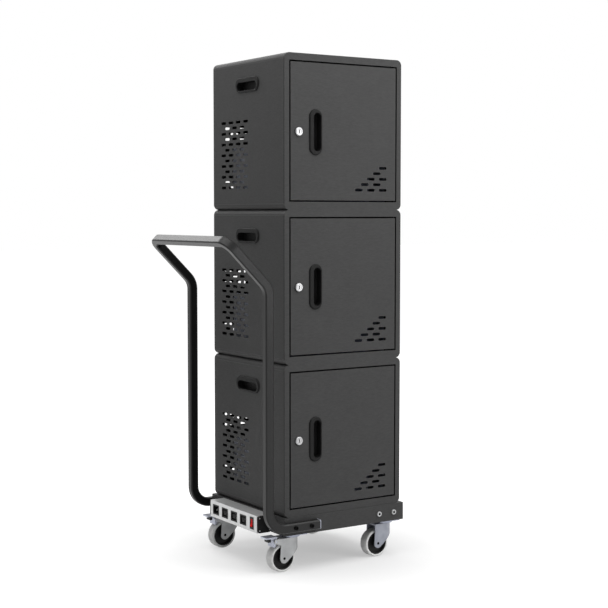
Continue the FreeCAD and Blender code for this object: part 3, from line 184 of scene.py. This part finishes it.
def powder_coat(name, dark, light, rough=(0.5, 0.62), gloss=0.15, panel=None, grain=(95.0, 95.0, 420.0)):
    """Powder coat: fine orange peel with a level grain, and, if a side panel is given, a painted highlight
    along its level edges and painted shade along its front joint.
    """
    graph = Graph(name)
    peel = graph.noise(1400.0, detail=2.0, roughness=0.6)
    level_grain = graph.noise(1.0, detail=2.0, roughness=0.6, stretch=grain)
    patches = graph.noise(18.0, detail=2.0, roughness=0.5)
    tone = graph.mix(graph.mix(peel, level_grain, share=0.6), patches, share=0.15)
    coat = graph.ramp(tone, dark, light)
    if panel is not None:
        coat = graph.painted_edge_lines(coat, panel)
    graph.surface(coat, graph.spread(peel, *rough))
    graph.bump(graph.mix(peel, level_grain, share=0.3), depth=0.00025, strength=0.35)
    graph.set(Specular_IOR_Level=gloss)
    return graph.material


def moulded(name, dark, light, rough, grain_scale=2600.0, depth=0.00008, gloss=0.2):
    """Moulded plastic with a fine spark-eroded grain."""
    graph = Graph(name)
    grain = graph.noise(grain_scale, detail=2.0, roughness=0.5)
    graph.surface(graph.ramp(grain, dark, light),
                  graph.spread(graph.noise(60.0), rough - 0.05, rough + 0.05))
    graph.bump(grain, depth, strength=0.3)
    graph.set(Specular_IOR_Level=gloss)
    return graph.material


def plated(name, dark, light, rough, stretch, metallic=1.0, gloss=0.5):
    """Plated or anodised metal with fine drawn lines along one direction."""
    graph = Graph(name)
    lines = graph.noise(300.0, detail=4.0, roughness=0.6, stretch=stretch)
    cloud = graph.noise(35.0, detail=3.0, roughness=0.5)
    graph.surface(graph.ramp(cloud, dark, light),
                  graph.spread(lines, rough - 0.06, rough + 0.08))
    graph.bump(lines, depth=0.00004, strength=0.25)
    graph.set(Metallic=metallic, Specular_IOR_Level=gloss)
    return graph.material


def rubber(name, dark, light):
    """Non-marking tread rubber: matt, with a faint moulding grain and dust tone."""
    graph = Graph(name)
    dust = graph.noise(90.0, detail=4.0, roughness=0.6)
    graph.surface(graph.ramp(dust, dark, light), graph.spread(graph.noise(700.0), 0.55, 0.7))
    graph.bump(graph.noise(1800.0, detail=2.0), depth=0.0001, strength=0.3)
    return graph.material


# The scale of drawn lines along each axis: the smaller a number, the longer the lines run that way.
LINES_ALONG_X = (0.15, 1.0, 1.0)
LINES_ALONG_Y = (1.0, 0.15, 1.0)
LOCK_LINES_ALONG_Y = (1.0, 0.1, 1.0)
STRIP_LINES_ALONG_Y = (1.0, 0.02, 1.0)
NO_LINES = (1.0, 1.0, 1.0)

CHARCOAL_TONES = (grey(55), grey(68))
CHARCOAL = powder_coat("charcoal_coat", *CHARCOAL_TONES)
TOP_COAT = powder_coat("top_coat", *CHARCOAL_TONES, grain=(95.0, 420.0, 420.0))
BASE_COAT = powder_coat("base_coat", grey(54), grey(66))
HANDLE_COAT = powder_coat("handle_coat", grey(22), grey(27), rough=(0.28, 0.36), gloss=0.23)
# Painted shade for the door gaps: a near-black coat on the frame lips and door edges inside the gaps.
PAINTED_GAP_SHADE = powder_coat("painted_gap_shade_coat", grey(6), grey(9), rough=(0.6, 0.7), gloss=0.02)
RACK = powder_coat("rack_coat", colour(180, 184, 198), colour(192, 196, 208), rough=(0.4, 0.5))

PULL = moulded("pull_plastic", grey(20), grey(26), 0.55, gloss=0.12)
BLACK = moulded("black_plastic", grey(18), grey(24), 0.5)
OUTLET = moulded("outlet_plastic", grey(9), grey(14), 0.55)
CAP = moulded("cap_plastic", colour(152, 155, 167), colour(166, 169, 181), 0.5)
RED = moulded("red_plastic", colour(220, 4, 4), colour(240, 8, 8), 0.3,
              grain_scale=900.0, depth=0.00003, gloss=0.08)
# Painted shade for the sockets in bolts and axles and for the key slots.
PAINTED_RECESS_SHADE = moulded("painted_recess_shade", grey(5), grey(9), 0.7, gloss=0.05)

CHROME = plated("lock_chrome", colour(146, 146, 147), colour(164, 164, 165), 0.36, LOCK_LINES_ALONG_Y)
ZINC = plated("zinc", colour(154, 155, 156), colour(172, 173, 174), 0.38, LINES_ALONG_X, metallic=0.5)
# Painted shade: a darker, bluish copy of the zinc for the forks on the right.
BLUE_ZINC_PAINTED_SHADE = plated("blue_zinc_painted_shade", colour(128, 131, 140), colour(146, 149, 158), 0.38, LINES_ALONG_X,
                   metallic=0.5)
PLATE = plated("plate_steel", colour(130, 133, 146), colour(150, 153, 166), 0.4, LINES_ALONG_Y, metallic=0.8)
PEDAL = plated("pedal_steel", colour(172, 175, 186), colour(190, 193, 204), 0.38, LINES_ALONG_Y,
               metallic=0.8)
# Painted shade: a darker copy of the pedal steel for the tongues below the blades.
TONGUE_PAINTED_SHADE = plated("tongue_steel_painted_shade", colour(150, 153, 164), colour(168, 171, 182), 0.42, LINES_ALONG_Y,
                metallic=0.8)
BLACK_STEEL = plated("black_steel", grey(4), grey(8), 0.5, NO_LINES, metallic=0.0, gloss=0.05)
STRIP = plated("strip_aluminium", colour(195, 196, 196), colour(207, 207, 207), 0.36, STRIP_LINES_ALONG_Y,
               metallic=0.5)
TYRE = rubber("grey_rubber", colour(228, 228, 227), colour(241, 241, 240))

look = {
    "back_panels": CHARCOAL,
    "bottom_trays": TOP_COAT,
    "top_covers": TOP_COAT,
    "front_rail": BASE_COAT,
    "rear_rail": BASE_COAT,
    "cross_members": BASE_COAT,
    "push_handle": HANDLE_COAT,
    "handle_end_caps": CAP,
    "handle_bolts": BLACK_STEEL,
    # The hinge pins are black steel as painted shade: they sit in the dark gap round each door.
    "hinge_pins": BLACK_STEEL,
    "rail_bolts": ZINC,
    "side_pulls": PULL,
    "device_racks": RACK,
    "charging_hubs": BLACK,
    "power_strip": STRIP,
    "strip_end_caps": BLACK,
    "strip_screws": ZINC,
    "strip_inlet": OUTLET,
    "strip_outlets": OUTLET,
    "switch_bezel": BLACK,
    "rocker_switch": RED,
    "caster_plates": PLATE,
}
for level in LEVELS:
    for side in ("left_side", "right_side"):
        name = f"{level}_{side}"
        # Each side panel's coat carries a painted highlight along its level edges and painted shade at its
        # front joint.
        look[name] = powder_coat(f"{name}_coat", *CHARCOAL_TONES, panel=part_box(name))
    look[f"{level}_front_frame"] = CHARCOAL
    look[f"{level}_door"] = CHARCOAL
    look[f"{level}_door_pull"] = PULL
    look[f"{level}_lock_housing"] = CHROME
    look[f"{level}_lock_plug"] = CHROME
for corner in CORNERS:
    # The right forks take the zinc copy with painted shade.
    look[f"{corner}_fork"] = ZINC if corner in BRAKED_CORNERS else BLUE_ZINC_PAINTED_SHADE
    look[f"{corner}_tyre"] = TYRE
    look[f"{corner}_hub"] = BLACK
for corner in BRAKED_CORNERS:
    look[f"{corner}_brake_pedal"] = PEDAL


# Edges: sheets and mouldings have a small round on their corners, of these widths in metres.
# The hinge pins keep sharp edges: a round at a pin's foot would fill the door's running clearance.

PLAIN_EDGE = 0.0004
edge = {"push_handle": 0.002, "side_pulls": 0.0009, "power_strip": 0.0006, "rocker_switch": 0.0005,
        "hinge_pins": 0.0}
for level in LEVELS:
    edge[f"{level}_door_pull"] = 0.0009
    edge[f"{level}_lock_housing"] = 0.0006
for corner in CORNERS:
    edge[f"{corner}_tyre"] = 0.0012
    edge[f"{corner}_fork"] = 0.0008

# Points this near are one point, faces within this angle are one face, and a sharper angle is a corner.
SAME_POINT = 0.000005
SAME_FACE = math.radians(0.4)
CORNER_ANGLE = math.radians(32)


def soften(obj, width):
    """Round a piece's corners, if it has a width for that, and shade its curves smoothly."""
    weld = obj.modifiers.new("weld", "WELD")
    weld.merge_threshold = SAME_POINT
    flat = obj.modifiers.new("flat", "DECIMATE")
    flat.decimate_type = "DISSOLVE"
    flat.angle_limit = SAME_FACE
    if width > 0.0:
        bevel = obj.modifiers.new("bevel", "BEVEL")
        bevel.width = width
        bevel.segments = 2
        bevel.limit_method = "ANGLE"
        bevel.angle_limit = CORNER_ANGLE
        bevel.use_clamp_overlap = True
    normal = obj.modifiers.new("normal", "WEIGHTED_NORMAL")
    normal.keep_sharp = True
    for face in obj.data.polygons:
        face.use_smooth = True


for name, obj in nodes.items():
    obj.data.materials.clear()
    obj.data.materials.append(look[name])
    soften(obj, edge.get(name, PLAIN_EDGE))


# Some pieces show a second finish: the pedals' stop blocks and the inlet's blades. The sockets in bolts and
# axles, the key slots and the gaps round the doors get painted shade, and the pedals' tongues a darker copy
# of the pedal steel as painted shade. Sizes are in metres.

BELOW_FACE = 0.0002
BOLT_SOCKET_RADIUS = 0.0045
BOLT_SOCKET_DEPTH = 0.004
AXLE_SOCKET_RADIUS = 0.0042
AXLE_SOCKET_DEPTH = 0.0045
TONGUE_BELOW_BLADE_TOP = 0.0115
KEY_SLOT_RADIUS = 0.0055
KEY_SLOT_DEPTH = 0.009
FRAME_LIP_BEHIND_DOOR_FACE = 0.0004
FRAME_LIP_REACH = 0.0045
DOOR_EDGE_BEHIND_FACE = 0.0015
DOOR_EDGE_DEPTH = 0.0002
BLADES_FROM, BLADES_TO = 0.006, 0.0166
BLADES_HALF_WIDTH = 0.0085
BLADES_HALF_HEIGHT = 0.005


def paint(obj, material, inside):
    """Give a second material to the faces whose middle lies inside."""
    obj.data.materials.append(material)
    for face in obj.data.polygons:
        if inside(face.center):
            face.material_index = 1


def solids_of(obj):
    """The separate solids of a node: for each, its faces and its lowest and highest corner."""
    links = list(range(len(obj.data.vertices)))

    def root(i):
        while links[i] != i:
            links[i] = links[links[i]]
            i = links[i]
        return i

    first_at = {}
    for vertex in obj.data.vertices:
        first = first_at.setdefault(tuple(round(value, 6) for value in vertex.co), vertex.index)
        links[root(vertex.index)] = root(first)
    for line in obj.data.edges:
        links[root(line.vertices[0])] = root(line.vertices[1])
    faces = {}
    for face in obj.data.polygons:
        faces.setdefault(root(face.vertices[0]), []).append(face)
    solids = []
    for members in faces.values():
        points = [obj.data.vertices[i].co for face in members for i in face.vertices]
        low = Vector([min(point[axis] for point in points) for axis in range(3)])
        high = Vector([max(point[axis] for point in points) for axis in range(3)])
        solids.append((members, low, high))
    return solids


def in_socket(rods, radius, depth):
    """A test for points in a socket that runs along Y into either end of a rod."""
    def inside(point):
        for x, z, front, rear in rods:
            into = min(point.y - front, rear - point.y)
            if math.hypot(point.x - x, point.z - z) < radius and BELOW_FACE < into < depth:
                return True
        return False
    return inside


# Painted shade in the sockets of the rail bolts.
bolts = [((low.x + high.x) / 2, (low.z + high.z) / 2, low.y, high.y)
         for members, low, high in solids_of(nodes["rail_bolts"])]
paint(nodes["rail_bolts"], PAINTED_RECESS_SHADE, in_socket(bolts, BOLT_SOCKET_RADIUS, BOLT_SOCKET_DEPTH))

for corner in CORNERS:
    hub_low, hub_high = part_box(f"{corner}_hub")
    fork_low, fork_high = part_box(f"{corner}_fork")
    axle = ((hub_low.x + hub_high.x) / 2, (hub_low.z + hub_high.z) / 2, fork_low.y, fork_high.y)
    # Painted shade in the axle socket at each end.
    paint(nodes[f"{corner}_fork"], PAINTED_RECESS_SHADE, in_socket([axle], AXLE_SOCKET_RADIUS, AXLE_SOCKET_DEPTH))

for corner in BRAKED_CORNERS:
    pedal = nodes[f"{corner}_brake_pedal"]
    blade_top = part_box(f"{corner}_brake_pedal")[1].z
    # The tongue below the blade gets painted shade.
    paint(pedal, TONGUE_PAINTED_SHADE, lambda point: point.z < blade_top - TONGUE_BELOW_BLADE_TOP)
    # The stop block, the shortest solid along X, is black as a whole.
    pedal.data.materials.append(BLACK)
    block_faces = min(solids_of(pedal), key=lambda solid: solid[2].x - solid[1].x)[0]
    for face in block_faces:
        face.material_index = 2

for level in LEVELS:
    plug = nodes[f"{level}_lock_plug"]
    plug_front = min(vertex.co.y for vertex in plug.data.vertices)
    housing_low, housing_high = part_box(f"{level}_lock_housing")
    lock = (housing_low + housing_high) / 2
    # Painted shade in the key slot.
    paint(plug, PAINTED_RECESS_SHADE, lambda point: (
        BELOW_FACE < point.y - plug_front < KEY_SLOT_DEPTH
        and math.hypot(point.x - lock.x, point.z - lock.z) < KEY_SLOT_RADIUS))
    door_low, door_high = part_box(f"{level}_door")
    middle = (door_low + door_high) / 2
    half = (door_high - door_low) / 2
    # Painted shade on the frame's lips and the door's edges inside the gap round the door.
    paint(nodes[f"{level}_front_frame"], PAINTED_GAP_SHADE, lambda point: (
        point.y > door_low.y + FRAME_LIP_BEHIND_DOOR_FACE
        and abs(point.x - middle.x) < half.x + FRAME_LIP_REACH
        and abs(point.z - middle.z) < half.z + FRAME_LIP_REACH))
    paint(nodes[f"{level}_door"], PAINTED_GAP_SHADE, lambda point: (
        point.y > door_low.y + DOOR_EDGE_BEHIND_FACE
        and (abs(point.x - middle.x) > half.x - DOOR_EDGE_DEPTH
             or abs(point.z - middle.z) > half.z - DOOR_EDGE_DEPTH)))

inlet_low, inlet_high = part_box("strip_inlet")
inlet_middle = (inlet_low + inlet_high) / 2
paint(nodes["strip_inlet"], STRIP, lambda point: (
    BLADES_FROM < point.x - inlet_low.x < BLADES_TO
    and abs(point.y - inlet_middle.y) < BLADES_HALF_WIDTH
    and abs(point.z - inlet_middle.z) < BLADES_HALF_HEIGHT))


# The floor is a pale sheet that keeps the object's shadow and fades to white away from it.

FLOOR_SIZE = 60
FLOOR_PLACE = (0.12, -0.08, -0.0005)
FLOOR_FOR_LIGHT = (0.64, 0.64, 0.64, 1)
FLOOR_FOR_CAMERA = (0.42, 0.42, 0.42, 1)
FADE_FROM, FADE_TO = 0.05, 1.0
GLOW_NEAR, GLOW_FAR = 0.45, 1.0
WHITE = (1, 1, 1, 1)


def shows_background(tree, rays):
    """1 for the rays that show the background, straight or by way of metal and glass, and 0 for the rest."""
    shows = rays.outputs["Is Camera Ray"]
    for kind in ("Is Glossy Ray", "Is Transmission Ray"):
        either = tree.nodes.new("ShaderNodeMath")
        either.operation = "MAXIMUM"
        tree.links.new(shows, either.inputs[0])
        tree.links.new(rays.outputs[kind], either.inputs[1])
        shows = either.outputs[0]
    return shows


bpy.ops.mesh.primitive_plane_add(size=FLOOR_SIZE, location=FLOOR_PLACE)
floor = bpy.context.object
floor.name = "floor"
sheet = Graph("floor_white")
sheet.set(Roughness=0.9, Specular_IOR_Level=0.05, Emission_Color=WHITE)
rays = sheet.add("ShaderNodeLightPath")
tone = sheet.add("ShaderNodeMix", data_type="RGBA")
tone.inputs[COLOUR_A].default_value = FLOOR_FOR_LIGHT
tone.inputs[COLOUR_B].default_value = FLOOR_FOR_CAMERA
sheet.link(rays.outputs["Is Camera Ray"], tone.inputs["Factor"])
sheet.link(tone.outputs[COLOUR_RESULT], sheet.shader.inputs["Base Color"])
away = sheet.add("ShaderNodeVectorMath", operation="LENGTH")
sheet.link(sheet.place, away.inputs[0])
fade = sheet.add("ShaderNodeMapRange", interpolation_type="SMOOTHSTEP")
fade.inputs["From Min"].default_value = FADE_FROM
fade.inputs["From Max"].default_value = FADE_TO
fade.inputs["To Min"].default_value = GLOW_NEAR
fade.inputs["To Max"].default_value = GLOW_FAR
sheet.link(away.outputs["Value"], fade.inputs["Value"])
glow = sheet.math("MULTIPLY", shows_background(sheet.tree, rays), fade.outputs["Result"])
sheet.link(glow, sheet.shader.inputs["Emission Strength"])
floor.data.materials.append(sheet.material)


# The world is white where it is seen, and lights the object only a little.

WORLD_AS_LIGHT = 0.08
WORLD_AS_SEEN = 1.0

world = bpy.data.worlds.new("studio")
scene.world = world
world.use_nodes = True
tree = world.node_tree
background = tree.nodes["Background"]
background.inputs["Color"].default_value = WHITE
strength = tree.nodes.new("ShaderNodeMapRange")
strength.inputs["To Min"].default_value = WORLD_AS_LIGHT
strength.inputs["To Max"].default_value = WORLD_AS_SEEN
world_rays = tree.nodes.new("ShaderNodeLightPath")
tree.links.new(shows_background(tree, world_rays), strength.inputs["Value"])
tree.links.new(strength.outputs["Result"], background.inputs["Strength"])


# Lamps and camera.

def softbox(name, place, aim, size, watts):
    """A large soft lamp pointed at a place."""
    lamp = bpy.data.lights.new(name, "AREA")
    lamp.shape = "RECTANGLE"
    lamp.size, lamp.size_y = size
    lamp.energy = watts
    obj = bpy.data.objects.new(name, lamp)
    obj.location = place
    obj.rotation_euler = (Vector(aim) - Vector(place)).to_track_quat("-Z", "Y").to_euler()
    scene.collection.objects.link(obj)


softbox("overhead", place=(0, -0.5, 3.0), aim=(0, -0.3, 0), size=(3.0, 3.0), watts=86)
softbox("key", place=(1.9, -1.9, 2.7), aim=(0.15, -0.1, 1.25), size=(2.0, 2.0), watts=44)
softbox("front_right", place=(2.1, -3.2, 1.35), aim=(0.1, -0.2, 0.9), size=(1.0, 1.7), watts=34)
softbox("left_top", place=(-1.9, -0.3, 2.5), aim=(-0.1, 0, 1.0), size=(1.8, 1.8), watts=8)
softbox("rim", place=(-0.2, 2.8, 2.6), aim=(0, 0, 0.9), size=(2.4, 1.2), watts=30)

# The camera's place, how far it looks down and how far it turns right from +Y, in degrees, and its lens.
CAMERA_PLACE = (-2.0026, -3.2211, 0.9606)
CAMERA_DOWN = 3.812
CAMERA_RIGHT = 32.99
SENSOR_WIDTH = 36
LENS = 80.6

camera_data = bpy.data.cameras.new("camera")
camera_data.sensor_width = SENSOR_WIDTH
camera_data.sensor_fit = "HORIZONTAL"
camera_data.lens = LENS
camera = bpy.data.objects.new("camera", camera_data)
camera.location = CAMERA_PLACE
camera.rotation_euler = (math.radians(90 - CAMERA_DOWN), 0, math.radians(-CAMERA_RIGHT))
scene.collection.objects.link(camera)
scene.camera = camera

scene.view_settings.view_transform = "Standard"
